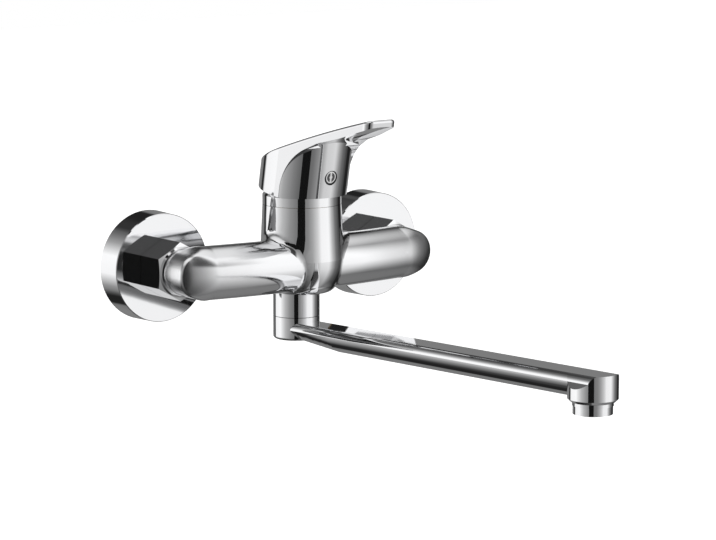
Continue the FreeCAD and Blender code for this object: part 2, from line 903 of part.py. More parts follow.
def moving_disc():
    """Ceramic disc with a mixing pocket underneath, slid by the lever."""
    centre_y = "-tower_axis_depth + disc_rest_back"
    plate = rod("moving_disc_plate", "moving_disc_radius", "moving_disc_top - fixed_disc_top - disc_film",
                ("0", centre_y, "fixed_disc_top + disc_film"))
    pocket = rod("mixing_pocket", "port_side", "mixing_pocket_depth", ("0", centre_y, "fixed_disc_top"))
    node(less("moving_ceramic_disc", plate, [pocket]), "moving_ceramic_disc")


def disc_carrier():
    """Plastic slider above the moving disc with a socket for the spindle's ball."""
    plate = rod("carrier_plate", "moving_disc_radius", "carrier_plate_top - moving_disc_top",
                ("0", "-tower_axis_depth + disc_rest_back", "moving_disc_top"))
    slider = doc.addObject("Part::Box", "carrier_block")
    bind(slider, "Length", "carrier_width")
    bind(slider, "Width", "carrier_length")
    bind(slider, "Height", "carrier_top - moving_disc_top")
    ball_place = "-sizes.tower_axis_depth + sizes.ball_drop * sin(sizes.lever_lean)"
    slider.setExpression("Placement.Base.x", "-sizes.carrier_width / 2")
    slider.setExpression("Placement.Base.y", ball_place + " - sizes.carrier_length / 2")
    bind(slider, "Placement.Base.z", "moving_disc_top")
    socket = rod("carrier_socket", "ball_radius + ball_play", "carrier_top",
                 on_tower("carrier_socket_bottom"))
    socket.setExpression("Placement.Base.y", ball_place)
    node(less("disc_carrier", joined("carrier_outer", [plate, slider]), [socket]), "disc_carrier")


def centred_box(label, width, length, bottom, top):
    """A box centred on the tower axis between two levels."""
    box = doc.addObject("Part::Box", label)
    bind(box, "Length", width)
    bind(box, "Width", length)
    bind(box, "Height", top + " - " + bottom)
    box.setExpression("Placement.Base.x", "-sizes.%s / 2" % width)
    box.setExpression("Placement.Base.y", "-sizes.tower_axis_depth - sizes.%s / 2" % length)
    bind(box, "Placement.Base.z", bottom)
    return box


def spindle_guide():
    """Turning guide: a channel for the slider below, a slot for the spindle above."""
    drum = rod("guide_drum", "guide_radius", "guide_top - guide_bottom", on_tower("guide_bottom"))
    channel = doc.addObject("Part::Box", "guide_channel")
    bind(channel, "Length", "guide_channel_width")
    bind(channel, "Width", "guide_radius + guide_radius")
    bind(channel, "Height", "guide_channel_top - guide_bottom")
    channel.setExpression("Placement.Base.x", "-sizes.guide_channel_width / 2")
    bind(channel, "Placement.Base.y", "-tower_axis_depth - guide_radius")
    bind(channel, "Placement.Base.z", "guide_bottom")
    slot = centred_box("guide_slot", "guide_slot_width", "guide_slot_length", "guide_bottom", "guide_top")
    pin_hole = rod("guide_pin_hole", "pivot_radius", "guide_radius + guide_radius",
                   ("-guide_radius", "-tower_axis_depth", "pivot_height"), "right")
    node(less("spindle_guide", drum, [channel, slot, pin_hole]), "spindle_guide")


def cartridge_housing():
    """Plastic drum of the cartridge with a narrower neck for the clamp nut."""
    outline = [
        ("housing_skirt_bore", "base_top"),
        ("housing_radius", "base_top"),
        ("housing_radius", "housing_shoulder"),
        ("housing_neck_radius", "housing_shoulder"),
        ("housing_neck_radius", "housing_top"),
        ("housing_skirt_bore", "housing_top"),
    ]
    node(turned("cartridge_housing", outline, on_tower("0")), "cartridge_housing")


def lever_spindle():
    """Steel spindle: ball end below the pivot, square end for the handle."""
    name = "lever_spindle"
    head = doc.addObject("Part::Sphere", name + "_ball")
    bind(head, "Radius", "ball_radius")
    lean(head, up="-ball_drop")
    stalk = leaning_rod(name + "_stalk", "spindle_neck_radius", "ball_drop - spindle_half", "-ball_drop")
    square = leaning_square(name + "_square", "-spindle_block_drop",
                            "square_top - spindle_play + spindle_block_drop")
    hole = rod(name + "_hole", "pivot_radius + pivot_play", "spindle_square + spindle_square",
               ("-spindle_square", "-tower_axis_depth", "pivot_height"), "right")
    node(less(name, joined(name + "_outer", [head, stalk, square]), [hole]), name)


def leaning_square(label, bottom, length):
    """A square bar of the spindle's size, standing in the lever's frame."""
    bar = doc.addObject("Part::Box", label)
    bind(bar, "Length", "spindle_square")
    bind(bar, "Width", "spindle_square")
    bind(bar, "Height", length)
    lean(bar, "-spindle_half", bottom)
    bind(bar, "Placement.Base.x", "-spindle_half")
    return bar


def pivot_pin():
    """Cross pin on which the spindle tilts."""
    pin = doc.addObject("Part::Cylinder", "pivot_pin_bar")
    bind(pin, "Radius", "pivot_radius")
    bind(pin, "Height", "pivot_length")
    pin.Placement = Placement(Vector(), TURNS["right"])
    pin.setExpression("Placement.Base.x", "-sizes.pivot_length / 2")
    bind(pin, "Placement.Base.y", "-tower_axis_depth")
    bind(pin, "Placement.Base.z", "pivot_height")
    node(pin, "spindle_pivot_pin")


# ---- handle -----------------------------------------------------------------
#
# The closed lever leans forward about the pivot, so its pieces are drawn in a
# frame of their own: x to the right, y towards the wall, z along the spindle.

def top_line():
    """Points along the lever's back: a long, barely crowned slope."""
    return [
        ("lever_back", "lever_back_top"),
        ("-lever_tip", "lever_tip_top", "lever_crown", -1),
    ]


def side_profile():
    """The lever seen from the right: a rising back, a thin tip, a hooded root."""
    outline = [("lever_back", "barrel_foot")] + top_line() + [
        ("-lever_tip", "lever_tip_under"),
        ("-lever_under_middle", "lever_under_height"),
        ("-hood_corner", "hood_corner_height"),
        ("-hood_front", "hood_front_height", "hood_curve", 1),
        ("-hood_front", "barrel_foot"),
    ]
    return leaning_slab("lever_side", outline, "YZ_Plane", "barrel_radius + barrel_radius + slab_margin")


def plan_profile():
    """The lever seen along the spindle: round root, straight flanks, rounded tip."""
    corner = "-lever_tip + tip_corner"
    outline = [
        ("flank_half_width", "-flank_start"),
        ("0", "barrel_radius", "barrel_radius", -1),
        ("-flank_half_width", "-flank_start", "barrel_radius", -1),
        ("-tip_half_width", corner),
        ("-tip_half_width + tip_corner", "-lever_tip", "tip_corner", -1),
        ("tip_half_width - tip_corner", "-lever_tip"),
        ("tip_half_width", corner, "tip_corner", -1),
    ]
    return leaning_slab("lever_plan", outline, "XY_Plane", "lever_tip + lever_tip")


def leaning_slab(label, outline, plane, thickness):
    """An outline of the lever's own frame, thickened both ways."""
    slab = padded(label, outline, plane, thickness, ("0", "0", "0"), middle=True)
    lean(slab)
    return slab


def under_roof(label, drop):
    """The space below the lever's back, or below a roof parallel to it."""
    outline = [
        ("lever_back", "barrel_foot + barrel_foot"),
        ("lever_back", "lever_back_top - " + drop),
        ("-lever_tip", "lever_tip_top - " + drop, "lever_crown", -1),
        ("-lever_tip", "barrel_foot + barrel_foot"),
    ]
    return leaning_slab(label, outline, "YZ_Plane", "barrel_radius + barrel_radius + slab_margin")


def leaning_rod(label, radius, length, up, across="0", direction="up"):
    """A cylinder standing in the lever's frame."""
    bar = doc.addObject("Part::Cylinder", label)
    bind(bar, "Radius", radius)
    bind(bar, "Height", length)
    lean(bar, across, up, direction)
    return bar


def lever_frame():
    """The lever's own frame: origin on the pivot, z along the spindle."""
    return Placement(Vector(0, -number("tower_axis_depth"), number("pivot_height")),
                     Rotation(Vector(1, 0, 0), SIZES["lever_lean"]))


def under_scoop():
    """Shallow arch hollowed under the lever from its root to its tip."""
    tool = doc.addObject("Part::Cylinder", "under_scoop")
    bind(tool, "Radius", "scoop_radius")
    bind(tool, "Height", "lever_tip")
    rise = number("scoop_crest_front - scoop_crest_back")
    run = number("lever_tip - hood_corner")
    drop = Rotation(Vector(1, 0, 0), 90 - math.degrees(math.atan2(rise, run)))
    start = Vector(0, -number("hood_corner"), number("scoop_crest_back"))
    base = start - drop.multVec(Vector(0, number("scoop_radius"), number("scoop_lead")))
    tool.Placement = lever_frame().multiply(Placement(base, drop))
    return tool


def handle_barrel():
    """Round skirt of the handle, up to the lever's back."""
    barrel = leaning_rod("handle_barrel", "barrel_radius", "lever_tip", "barrel_foot")
    return shared("barrel_under_top", [barrel, under_roof("barrel_limit", "0")])


def handle_cavity():
    """Hollow of the handle: a bore that ends in a roof parallel to the back."""
    bore = leaning_rod("cavity_bore", "barrel_bore", "lever_tip", "barrel_foot + barrel_foot")
    return shared("handle_cavity", [bore, under_roof("cavity_roof", "roof_skin")])


def lip_cuts():
    """Level lip at the front of the skirt, square-cut lip that clears at its back."""
    level = skirt_cut("lip_cut")
    bind(level, "Placement.Base.z", "lip_height - barrel_radius")
    leaning = skirt_cut("relief_cut")
    reach = number("barrel_radius + barrel_radius")
    leaning.Placement = lever_frame().multiply(
        Placement(Vector(-reach, -reach, number("relief_height - barrel_radius")), Rotation()))
    return [level, leaning]


def skirt_cut(label):
    """A slab wider than the skirt, one skirt radius deep."""
    slab = doc.addObject("Part::Box", label)
    reach = "barrel_radius + barrel_radius"
    bind(slab, "Length", reach + " + " + reach)
    bind(slab, "Width", reach + " + " + reach)
    bind(slab, "Height", "barrel_radius")
    bind(slab, "Placement.Base.x", "-barrel_radius - barrel_radius")
    bind(slab, "Placement.Base.y", "-tower_axis_depth - barrel_radius - barrel_radius")
    return slab


def handle():
    """Cast handle: barrel, hooded lever, inner boss and screw tunnel."""
    blank = shared("lever_blank", [side_profile(), plan_profile()])
    lever = less("lever_scooped", blank, [under_scoop()])
    sharp = joined("handle_sharp", [lever, handle_barrel()])
    doc.recompute()
    outer = rounded("handle_outer", sharp, "lever_edge", lambda edge: on_back(sharp, edge))
    hollow = less("handle_hollow", outer, [handle_cavity()] + lip_cuts())
    boss = leaning_rod("handle_boss", "boss_radius", "square_top - boss_bottom + roof_skin", "boss_bottom")
    tunnel = leaning_rod("grub_tunnel", "grub_tunnel_radius", "button_face - button_depth",
                         "grub_height", direction="forward")
    inner = shared("boss_under_roof", [joined("boss_and_tunnel", [boss, tunnel]), outer])
    filled = joined("handle_filled", [hollow, inner])
    square = leaning_square("handle_square", "square_bottom", "square_top - square_bottom")
    grub_way = leaning_rod("grub_way", "grub_radius", "barrel_radius", "grub_height", direction="forward")
    seat = leaning_rod("button_seat_cut", "button_radius + button_play", "button_depth + button_depth",
                       "grub_height", "-button_face + button_depth", "forward")
    node(less("lever_handle", filled, [square, grub_way, seat]), "lever_handle")


def on_back(handle_shape, edge):
    """True for an edge around the lever's crowned back."""
    faces = handle_shape.Shape.ancestorsOfType(edge, Part.Face)
    return any(isinstance(face.Surface, Part.Cylinder) and
               face.Surface.Radius > number("lever_crown") / 2 for face in faces)


def handle_grub_screw():
    """Headless screw that grips the spindle's square."""
    start = "-spindle_half"
    screw = leaning_rod("grub_bar", "grub_radius", "grub_length", "grub_height", start, "forward")
    key = doc.addObject("Part::Prism", "grub_key")
    key.Polygon = 6
    key.setExpression("Circumradius", "sizes.grub_radius / sqrt(3)")
    bind(key, "Height", "grub_radius")
    lean(key, start + " - grub_length + grub_radius", "grub_height", "forward")
    node(less("handle_grub_screw", screw, [key]), "handle_grub_screw")


def index_button():
    """Round plug over the grub screw, with a rounded rim."""
    plug = leaning_rod("button_plug", "button_radius", "button_depth", "grub_height",
                       "-button_face + button_depth", "forward")
    doc.recompute()
    rims = [edge.CenterOfMass.y for edge in plug.Shape.Edges if isinstance(edge.Curve, Part.Circle)]

    def is_outer_rim(edge):
        return isinstance(edge.Curve, Part.Circle) and edge.CenterOfMass.y == min(rims)

    node(rounded("index_button", plug, "button_edge", is_outer_rim), "index_button")


# ---- spout ------------------------------------------------------------------

def bar_outline(thickness, wall):
    """D-shaped section of the spout's bar, or of its water way one wall further in."""
    inward = " - " + wall
    outward = " + " + wall
    half = number("bar_half_width" + inward)
    drop = number(thickness + " - bar_shoulder" + inward)
    belly = "%.4f" % ((half ** 2 + drop ** 2) / (2 * drop))
    corner = "bar_shoulder_radius"
    return [
        ("bar_flat_half_width" + inward, "-" + wall),
        ("bar_half_width" + inward, "-bar_shoulder", corner, 1),
        ("0", "-" + thickness + outward, belly, 1),
        ("-bar_half_width" + outward, "-bar_shoulder", belly, 1),
        ("-bar_flat_half_width" + outward, "-" + wall, corner, 1),
    ]


def tilted(body):
    """The bar and all that follows it rise towards the head."""
    tilt = Rotation(Vector(1, 0, 0), -SIZES["bar_slope"])
    body.Placement = Placement(body.Placement.Base, tilt)
    return body


def on_bar(along):
    """The point on the bar's top this far from the spout's swivel axis."""
    slope = math.radians(SIZES["bar_slope"])
    out = SIZES[along] * math.cos(slope)
    rise = SIZES[along] * math.sin(slope)
    return ("0", "-spout_axis_depth - %.4f" % out, "bar_top_at_hub + %.4f" % rise)


def bar(label, wall):
    """The bar deepens along its heel and then runs straight to the head."""
    heel = lofted(label + "_heel", bar_outline("bar_heel_thickness", wall),
                  bar_outline("bar_thickness", wall), "XZ_Plane", "bar_heel_length",
                  ("0", "-spout_axis_depth", "bar_top_at_hub"))
    run = padded(label + "_run", bar_outline("bar_thickness", wall), "XZ_Plane",
                 "head_depth - spout_axis_depth - bar_heel_length", on_bar("bar_heel_length"))
    return [tilted(heel), tilted(run)]


def head_roof():
    """The bar's top carried on over the head, which keeps a flat with falling shoulders."""
    outline = [
        ("bar_flat_half_width", "0"),
        ("bar_half_width", "-bar_shoulder", "bar_shoulder_radius", 1),
        ("roof_reach", "-roof_drop"),
        ("roof_reach", "-roof_depth"),
        ("-roof_reach", "-roof_depth"),
        ("-roof_reach", "-roof_drop"),
        ("-bar_half_width", "-bar_shoulder"),
        ("-bar_flat_half_width", "0", "bar_shoulder_radius", 1),
    ]
    return tilted(padded("head_roof", outline, "XZ_Plane",
                         "head_depth - spout_axis_depth + roof_reach",
                         ("0", "-spout_axis_depth", "bar_top_at_hub")))


def spout():
    """Hollow cast spout: hub, D-shaped bar and outlet head."""
    hub = turned("spout_hub", [
        ("0", "hub_top"),
        ("collar_radius", "hub_top"),
        ("collar_radius", "hub_bottom + hub_edge"),
        ("collar_radius - hub_edge", "hub_bottom", "hub_edge", 1),
        ("0", "hub_bottom"),
    ], on_spout("0"))
    head_post = turned("head_post", [
        ("0", "head_top"),
        ("head_radius", "head_top"),
        ("head_radius", "head_bottom + head_edge"),
        ("head_radius - head_edge", "head_bottom"),
        ("0", "head_bottom"),
    ], on_head("0"))
    head = shared("spout_head", [head_post, head_roof()])
    socket = rod("stem_socket", "stem_foot_radius", "hub_top - stem_socket_bottom + strainer_rim",
                 on_spout("stem_socket_bottom"))
    head_space = turned("head_space", [
        ("0", "head_cavity_top"),
        ("head_cavity_radius", "head_cavity_top"),
        ("head_cavity_radius", "head_thread_top"),
        ("head_thread_radius", "head_thread_top"),
        ("head_thread_radius", "head_bottom - strainer_rim"),
        ("0", "head_bottom - strainer_rim"),
    ], on_head("0"))
    outer = joined("spout_outer", [hub, head] + bar("spout_bar", "0"))
    node(less("spout", outer, bar("spout_way", "bar_wall") + [socket, head_space]), "spout")


def spout_stem():
    """Brass stem fixed in the hub, grooved for its rings and the retaining screw."""
    groove = "stem_groove_radius"
    outline = [("stem_passage", "stem_socket_bottom"), ("stem_foot_radius", "stem_socket_bottom"),
               ("stem_foot_radius", "stem_shoulder"), (groove, "stem_shoulder"),
               (groove, "slide_ring_low + slide_ring_half"),
               ("stem_radius", "slide_ring_low + slide_ring_half")]
    for centre, reach in (("retainer_height", "retainer_groove_reach"),
                          ("oring_low", "oring_groove_reach"),
                          ("oring_high", "oring_groove_reach"),
                          ("slide_ring_high", "slide_ring_half")):
        low = centre + " - " + reach
        high = centre + " + " + reach
        outline += [("stem_radius", low), (groove, low), (groove, high), ("stem_radius", high)]
    outline.append(("stem_radius", "stem_top"))
    outline.append(("stem_passage", "stem_top"))
    node(turned("spout_stem", outline, on_spout("0")), "spout_stem")


def stem_rings():
    """Two rubber rings and two plastic slide rings in the stem's grooves."""
    rubber = []
    for height in ("oring_high", "oring_low"):
        rubber.append(seal_ring("o_ring_" + height,
                                "stem_groove_radius", "stem_bore - ring_play",
                                height + " - oring_wire + ring_play + ring_play",
                                height + " + oring_wire - ring_play - ring_play", on_spout("0")))
    node(gathered("stem_o_rings", rubber), "stem_o_rings")
    plastic = []
    for height in ("slide_ring_high", "slide_ring_low"):
        plastic.append(turned("guide_" + height, [
            ("stem_groove_radius", height + " - slide_ring_half"),
            ("stem_bore - ring_play", height + " - slide_ring_half"),
            ("stem_bore - ring_play", height + " + slide_ring_half"),
            ("stem_groove_radius", height + " + slide_ring_half"),
        ], on_spout("0")))
    node(gathered("stem_slide_rings", plastic), "stem_slide_rings")


def retaining_screw():
    """Headless screw in the collar's back whose tip runs in the stem's groove."""
    outline = [
        ("0", "stem_groove_radius + retainer_tip - ring_play"),
        ("retainer_tip", "stem_groove_radius + retainer_tip - ring_play"),
        ("retainer_tip", "stem_bore"),
        ("retainer_radius", "stem_bore"),
        ("retainer_radius", "collar_radius - retainer_back"),
        ("0", "collar_radius - retainer_back"),
    ]
    screw = turned("retainer_bar", outline, on_spout("retainer_height"), "back")
    node(screw, "spout_retaining_screw")


# ---- aerator ----------------------------------------------------------------

def aerator():
    """Screwed-in mouthpiece: housing, gasket, screen, jet regulator and grid."""
    housing = [
        ("aerator_bore", "gasket_bottom"),
        ("aerator_thread_radius", "gasket_bottom"),
        ("aerator_thread_radius", "aerator_skirt_top"),
        ("aerator_skirt_radius", "aerator_skirt_top"),
        ("aerator_skirt_radius", "aerator_step"),
        ("aerator_step_radius", "aerator_step"),
        ("aerator_step_radius", "aerator_bottom"),
        ("aerator_lip_radius", "aerator_bottom"),
        ("aerator_lip_radius", "aerator_lip"),
        ("aerator_bore", "aerator_lip"),
    ]
    node(turned("aerator_housing", housing, on_head("0")), "aerator_housing")
    gasket = [
        ("gasket_bore", "gasket_bottom"),
        ("aerator_thread_radius", "gasket_bottom"),
        ("aerator_thread_radius", "head_thread_top"),
        ("gasket_bore", "head_thread_top"),
    ]
    node(turned("aerator_gasket", gasket, on_head("0")), "aerator_gasket")
    screen = [
        ("0", "screen_bottom"),
        ("aerator_bore - thread_play", "screen_bottom"),
        ("aerator_bore - thread_play", "screen_top"),
        ("0", "screen_top"),
    ]
    node(turned("aerator_screen", screen, on_head("0")), "aerator_screen")
    regulator = [
        ("regulator_core", "regulator_bottom"),
        ("aerator_bore - thread_play", "regulator_bottom"),
        ("aerator_bore - thread_play", "screen_bottom"),
        ("regulator_core", "screen_bottom"),
    ]
    node(turned("jet_regulator", regulator, on_head("0")), "jet_regulator")
    plate = turned("grid_plate", [
        ("0", "aerator_lip"),
        ("aerator_bore - thread_play", "aerator_lip"),
        ("aerator_bore - thread_play", "regulator_bottom"),
        ("0", "regulator_bottom"),
    ], on_head("0"))
    drill = hexagon("grid_drill", "grid_hole + grid_hole", "regulator_bottom - aerator_lip + 2",
                    ("0", "0", "0"), "up", 0)
    doc.recompute()
    pitch = SIZES["grid_pitch"]
    holes = ring_pattern("grid_holes", drill.Shape, ((0, 1), (pitch, 6), (2 * pitch, 12), (3 * pitch, 18)))
    place(holes, on_head("aerator_lip - 1"))
    node(less("stream_straightener", plate, [holes]), "stream_straightener")


# ---- build, check and write --------------------------------------------------

def build():
    """Makes every sub-part from the wall outwards."""
    fill_sheet()
    build_inlet("left", "-inlet_half_spacing")
    build_inlet("right", "inlet_half_spacing")
    body_casting()
    cap_ring()
    clamp_nut()
    cartridge_base()
    port_seals()
    fixed_disc()
    moving_disc()
    disc_carrier()
    spindle_guide()
    cartridge_housing()
    lever_spindle()
    pivot_pin()
    handle()
    handle_grub_screw()
    index_button()
    spout()
    spout_stem()
    stem_rings()
    retaining_screw()
    aerator()
    doc.recompute()


def check():
    """Stops if any feature failed or any sub-part has a bad shape."""
    for item in doc.Objects:
        if "Invalid" in item.State or "Error" in item.State:
            raise RuntimeError("%s: %s" % (item.Label, item.State))
    for item in NODES:
        if item.Shape.isNull() or not item.Shape.isValid():
            raise RuntimeError("bad shape: " + item.Label)


def write():
    """Writes one STEP file per sub-part."""
    os.makedirs("parts", exist_ok=True)
    for item in NODES:
        item.Shape.exportStep("parts/%s.step" % item.Label)
        print("%-28s solids %d  volume %.1f" % (item.Label, len(item.Shape.Solids), item.Shape.Volume))


build()
check()
write()
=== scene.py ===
import bpy
import bmesh
import math
from mathutils import Matrix, Vector


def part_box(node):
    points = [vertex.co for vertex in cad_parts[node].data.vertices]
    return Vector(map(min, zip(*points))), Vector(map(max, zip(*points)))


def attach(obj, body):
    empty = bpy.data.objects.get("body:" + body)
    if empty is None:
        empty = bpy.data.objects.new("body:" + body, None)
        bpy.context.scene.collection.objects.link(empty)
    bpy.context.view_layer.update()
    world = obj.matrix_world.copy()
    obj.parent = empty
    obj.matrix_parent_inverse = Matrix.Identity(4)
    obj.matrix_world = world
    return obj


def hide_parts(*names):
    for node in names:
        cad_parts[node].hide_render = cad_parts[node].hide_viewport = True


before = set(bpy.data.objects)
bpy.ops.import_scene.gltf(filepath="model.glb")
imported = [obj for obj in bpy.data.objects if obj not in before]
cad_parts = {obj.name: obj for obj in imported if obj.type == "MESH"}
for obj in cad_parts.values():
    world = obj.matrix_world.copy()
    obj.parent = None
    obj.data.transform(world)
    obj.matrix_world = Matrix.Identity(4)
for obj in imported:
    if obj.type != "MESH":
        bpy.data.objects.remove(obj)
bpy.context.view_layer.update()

# ---- studio -------------------------------------------------------------------
# A white tent lights the tap, brightest at its left and right. It is open at the back
# and in parts of its roof, and a dark gap is left for the lens, so polished metal
# shows a dark stripe down its middle and dark lines at its sides.

camera_place = Vector((-1.04368, -1.49306, 0.2758))
camera_turn = math.radians(-36.83)
camera_tilt = math.radians(8.93)

level_towards = Vector((math.sin(camera_turn), -math.cos(camera_turn), 0.0))
towards = level_towards * math.cos(camera_tilt) + Vector((0.0, 0.0, math.sin(camera_tilt)))
across = Vector((math.cos(camera_turn), math.sin(camera_turn), 0.0))
upward = towards.cross(across)

lens = bpy.data.cameras.new("camera")
lens.sensor_width = 36.0
lens.lens = 159.3
lens.clip_end = 20.0
camera = bpy.data.objects.new("camera", lens)
bpy.context.scene.collection.objects.link(camera)
axes = Matrix((across, upward, towards)).transposed().to_4x4()
camera.matrix_world = Matrix.Translation(camera_place) @ axes
bpy.context.scene.camera = camera
bpy.context.scene.view_settings.view_transform = "Standard"


def figure(tree, operation, *values):
    """A Math node fed by sockets or plain numbers."""
    sum_node = tree.nodes.new("ShaderNodeMath")
    sum_node.operation = operation
    for slot, value in enumerate(values):
        if isinstance(value, (int, float)):
            sum_node.inputs[slot].default_value = value
        else:
            tree.links.new(value, sum_node.inputs[slot])
    return sum_node.outputs[0]


def along(tree, direction, axis):
    """How far a direction points along an axis, from -1 to 1."""
    product = tree.nodes.new("ShaderNodeVectorMath")
    product.operation = "DOT_PRODUCT"
    tree.links.new(direction, product.inputs[0])
    product.inputs[1].default_value = axis
    return product.outputs["Value"]


def greys(tree, value, low, high, stops):
    """Brightness of a value between two ends, from (value, brightness) stops."""
    ramp = tree.nodes.new("ShaderNodeValToRGB")
    points = ramp.color_ramp.elements
    while len(points) < len(stops):
        points.new(0.5)
    for point, (place, grey) in zip(points, stops):
        point.position = (place - low) / (high - low)
        point.color = (grey, grey, grey, 1.0)
    fraction = figure(tree, "DIVIDE", figure(tree, "SUBTRACT", value, low), high - low)
    tree.links.new(fraction, ramp.inputs[0])
    return ramp.outputs[0]


tent = bpy.data.worlds.new("tent")
tent.use_nodes = True
bpy.context.scene.world = tent
sky = tent.node_tree
sky.nodes.clear()
look = sky.nodes.new("ShaderNodeTexCoord").outputs["Generated"]
rise = along(sky, look, (0.0, 0.0, 1.0))
sideways = along(sky, look, across)
facing = along(sky, look, level_towards)
bearing = figure(sky, "DEGREES", figure(sky, "ARCTAN2", sideways, facing))
tent_walls = greys(sky, bearing, -180.0, 180.0, [
    (-180, 1.00), (-128, 0.80), (-118, 0.95), (-84, 1.00), (-75, 0.80), (-56, 0.50), (-32, 0.29),
    (-15, 0.20), (0, 0.19), (18, 0.24), (32, 0.40), (47, 0.66), (57, 0.95), (82, 1.00), (88, 0.80),
    (95, 0.52), (103, 0.32), (110, 0.18), (123, 0.10), (140, 0.30), (180, 1.00),
])
tent_height = greys(sky, rise, -1.0, 1.0, [
    (-1.0, 0.12), (-0.80, 0.28), (-0.57, 0.50), (-0.33, 0.74), (-0.15, 0.92), (0.20, 1.0),
    (1.0, 1.0),
])
left_box = greys(sky, rise, -1.0, 1.0, [
    (-1.0, 0.05), (-0.58, 0.05), (-0.42, 0.30), (-0.20, 0.95), (0.18, 1.0), (0.42, 0.35),
    (0.58, 0.10), (1.0, 0.10),
])
left_share = greys(sky, bearing, -180.0, 180.0, [(-180, 1), (-70, 1), (-35, 0), (120, 0), (180, 1)])
tent_roof = greys(sky, rise, -1.0, 1.0, [
    (-1.0, 0.0), (0.50, 0.0), (0.66, 0.30), (0.80, 0.70), (1.0, 0.85),
])
left_shoulder = greys(sky, bearing, -180.0, 180.0, [
    (-180, 0), (-170, 0), (-158, 1), (-136, 1), (-120, 0), (180, 0),
])
shoulder_lean = 0.14
leaning = figure(sky, "MULTIPLY", left_shoulder, shoulder_lean)
backwards = figure(sky, "SUBTRACT", along(sky, look, towards), leaning)
tent_back = greys(sky, backwards, -1.0, 1.0, [(-1.0, 0.0), (-0.68, 0.0), (-0.52, 1.0), (1.0, 1.0)])
back_card = greys(sky, backwards, -1.0, 1.0, [
    (-1.0, 0.20), (-0.90, 0.17), (-0.86, 0.015), (-0.68, 0.015), (-0.52, 0.0), (1.0, 0.0),
])


def blended(tree, share, first, second):
    """One grey where the share is 0, the other where it is 1."""
    rest = figure(tree, "SUBTRACT", 1.0, share)
    first_part = figure(tree, "MULTIPLY", first, rest)
    return figure(tree, "ADD", first_part, figure(tree, "MULTIPLY", second, share))


shaped_walls = figure(sky, "MULTIPLY", tent_walls, blended(sky, left_share, tent_height, left_box))
open_back = figure(sky, "ADD", figure(sky, "MULTIPLY", shaped_walls, tent_back), back_card)
shoulder_shade = 0.8
roof_gap = figure(sky, "SUBTRACT", 1.0, figure(sky, "MULTIPLY", left_shoulder, shoulder_shade))
tent_top = figure(sky, "MAXIMUM", open_back, figure(sky, "MULTIPLY", tent_roof, roof_gap))
over_front = greys(sky, bearing, -180.0, 180.0, [
    (-180, 0), (15, 0), (25, 1), (56, 1), (66, 0), (180, 0),
])
high_up = greys(sky, rise, -1.0, 1.0, [(-1.0, 0), (0.42, 0), (0.52, 0.9), (1.0, 0.9)])
front_gap = figure(sky, "SUBTRACT", 1.0, figure(sky, "MULTIPLY", over_front, high_up))
below_tent = greys(sky, rise, -1.0, 1.0, [(-1.0, 0.20), (-0.70, 0.16), (-0.50, 0.0), (1.0, 0.0)])
right_side = greys(sky, bearing, -180.0, 180.0, [(-180, 1), (-165, 0), (70, 0), (100, 1), (180, 1)])
table_glow = figure(sky, "MULTIPLY", below_tent, right_side)
lit = figure(sky, "MAXIMUM", figure(sky, "MULTIPLY", tent_top, front_gap), table_glow)
paper_white = 1.0
plate_loss = 1.16
seen_straight = sky.nodes.new("ShaderNodeLightPath").outputs["Is Camera Ray"]
backdrop = blended(sky, seen_straight, figure(sky, "MULTIPLY", lit, plate_loss), paper_white)
glow = sky.nodes.new("ShaderNodeBackground")
sky.links.new(backdrop, glow.inputs["Color"])
sky_out = sky.nodes.new("ShaderNodeOutputWorld")
sky.links.new(glow.outputs[0], sky_out.inputs["Surface"])


def upright_sheet(name, centre, facing_way, width, height):
    """A flat sheet that stands upright and faces a level direction."""
    side = facing_way.cross(Vector((0.0, 0.0, 1.0))) * (width / 2)
    rise_half = Vector((0.0, 0.0, height / 2))
    corners = [centre - side - rise_half, centre + side - rise_half,
               centre + side + rise_half, centre - side + rise_half]
    mesh = bpy.data.meshes.new(name)
    mesh.from_pydata(corners, [], [(0, 1, 2, 3)])
    sheet = bpy.data.objects.new(name, mesh)
    bpy.context.scene.collection.objects.link(sheet)
    return sheet


tower_centre = Vector((0.0, -0.0462, 0.0))
lens_gap_away = 0.85
lens_gap_width = 0.32
lens_gap_height = 2.4
lens_gap = upright_sheet("lens_gap", tower_centre + level_towards * lens_gap_away, level_towards,
                         lens_gap_width, lens_gap_height)
black_cloth = bpy.data.materials.new("black_cloth")
black_cloth.use_nodes = True
cloth_shader = black_cloth.node_tree.nodes["Principled BSDF"]
cloth_shader.inputs["Base Color"].default_value = (0.02, 0.02, 0.02, 1.0)
cloth_shader.inputs["Roughness"].default_value = 1.0
lens_gap.data.materials.append(black_cloth)
lens_gap.visible_camera = False
lens_gap.visible_diffuse = False
lens_gap.visible_shadow = False

floor_level = -0.42
floor_half = 6.0
floor_mesh = bpy.data.meshes.new("floor")
floor_corners = [(-floor_half, -floor_half, floor_level), (floor_half, -floor_half, floor_level),
                 (floor_half, floor_half, floor_level), (-floor_half, floor_half, floor_level)]
floor_mesh.from_pydata(floor_corners, [], [(0, 1, 2, 3)])
floor = bpy.data.objects.new("floor", floor_mesh)
bpy.context.scene.collection.objects.link(floor)
floor_paper = bpy.data.materials.new("floor_paper")
floor_paper.use_nodes = True
floor_shader = floor_paper.node_tree.nodes["Principled BSDF"]
floor_shader.inputs["Base Color"].default_value = (0.9, 0.9, 0.9, 1.0)
floor_shader.inputs["Roughness"].default_value = 0.9
floor_shader.inputs["Emission Color"].default_value = (1.0, 1.0, 1.0, 1.0)
floor_shader.inputs["Emission Strength"].default_value = 0.8
floor_mesh.materials.append(floor_paper)
floor.visible_glossy = False
floor.visible_diffuse = False
floor.visible_shadow = False

